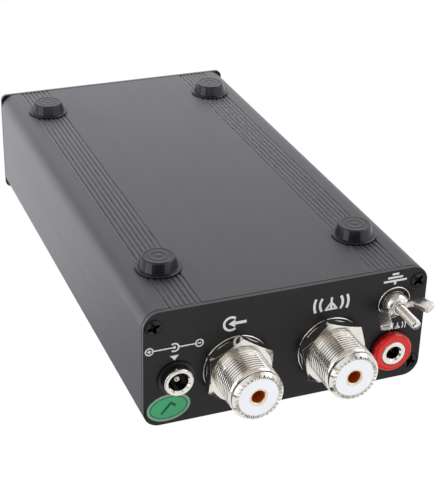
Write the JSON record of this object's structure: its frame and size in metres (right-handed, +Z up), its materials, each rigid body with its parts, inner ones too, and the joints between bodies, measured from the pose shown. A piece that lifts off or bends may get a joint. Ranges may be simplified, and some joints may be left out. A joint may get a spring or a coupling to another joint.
{
  "type": "automatic antenna tuner",
  "caption": "Flat automatic antenna tuner in a split extruded case on rubber feet: coaxial sockets, power jack, wire socket and ground post behind, window and push buttons in front.",
  "frame": {"origin": "under the middle of the whole object's box, on the plane the feet stand on", "axes": "+X to the right seen from the front, +Y from the front panel to the rear panel, +Z up"},
  "size_m": [0.088, 0.1882, 0.0415],
  "materials": {
    "anodised": "satin dark grey anodised",
    "panel_black": "satin black anodised",
    "screw_black": "black oxide steel",
    "rubber_black": "matt black rubber",
    "nickel": "bright nickel plate on brass",
    "ptfe_white": "smooth white fluoropolymer",
    "gilt": "gilt spring bronze",
    "plastic_black": "black moulded plastic",
    "plastic_red": "glossy red moulded plastic",
    "window_smoke": "smoked clear plastic",
    "board_green": "glass-fibre board with green resist",
    "relay_blue": "blue moulded relay cover",
    "core_iron": "painted iron powder",
    "copper": "enamelled copper wire",
    "capacitor_tan": "dipped ceramic",
    "lead_red": "red insulated wire"
  },
  "bodies": {
    "case": {"lower_shell": "anodised", "upper_shell": "anodised", "rear_panel": "panel_black", "front_panel": "panel_black", "rear_panel_screws": "screw_black", "front_panel_screws": "screw_black", "foot_front_left": "rubber_black", "foot_front_right": "rubber_black", "foot_rear_left": "rubber_black", "foot_rear_right": "rubber_black", "in_shell": "nickel", "in_dielectric": "ptfe_white", "in_contact": "gilt", "in_washer": "nickel", "in_lock_washer": "nickel", "in_nut": "nickel", "ant_shell": "nickel", "ant_dielectric": "ptfe_white", "ant_contact": "gilt", "ant_washer": "nickel", "ant_lock_washer": "nickel", "ant_nut": "nickel", "jack_body": "plastic_black", "jack_ferrule": "nickel", "jack_pin": "nickel", "jack_nut": "nickel", "jack_tab": "nickel", "ground_stud": "nickel", "wire_collar": "plastic_red", "wire_sleeve": "nickel", "wire_insulator": "plastic_red", "wire_nut": "nickel", "display_window": "window_smoke", "display_module": "window_smoke", "front_board": "board_green", "board_header": "plastic_black", "key_switches": "plastic_black", "main_board": "board_green", "relays": "relay_blue", "toroid_cores": "core_iron", "toroid_windings": "copper", "coupler_transformers": "core_iron", "tuning_capacitors": "capacitor_tan", "microcontroller": "plastic_black", "voltage_regulator": "plastic_black", "electrolytic_capacitors": "plastic_black", "rf_leads": "copper", "power_leads": "lead_red", "ground_lead": "plastic_black", "wire_lead": "lead_red"},
    "ground_washer": {"ground_washer": "nickel"},
    "wing_nut": {"wing_nut": "nickel"},
    "tune_button": {"tune_button": "plastic_black"},
    "bypass_button": {"bypass_button": "plastic_black"},
    "auto_button": {"auto_button": "plastic_black"}
  },
  "joints": [
    {"name": "wing_nut_travel", "type": "slide", "parent": "case", "child": "ground_washer", "axis": [0, 1, 0], "range_m": [0, 0.009]},
    {"name": "wing_nut_turn", "type": "hinge", "parent": "ground_washer", "child": "wing_nut", "pos_m": [0.0333, 0.0764, 0.01445], "axis": [0, 1, 0], "range_deg": [0, 6480]},
    {"name": "tune_press", "type": "slide", "parent": "case", "child": "tune_button", "axis": [0, 1, 0], "range_m": [0, 0.0006], "stiffness_N_per_m": 2500, "springref_m": -0.0002},
    {"name": "bypass_press", "type": "slide", "parent": "case", "child": "bypass_button", "axis": [0, 1, 0], "range_m": [0, 0.0006], "stiffness_N_per_m": 2500, "springref_m": -0.0002},
    {"name": "auto_press", "type": "slide", "parent": "case", "child": "auto_button", "axis": [0, 1, 0], "range_m": [0, 0.0006], "stiffness_N_per_m": 2500, "springref_m": -0.0002}
  ],
  "couplings": [
    {"joint": "wing_nut_turn", "follows": "wing_nut_travel", "rad_per_m": 12566}
  ]
}
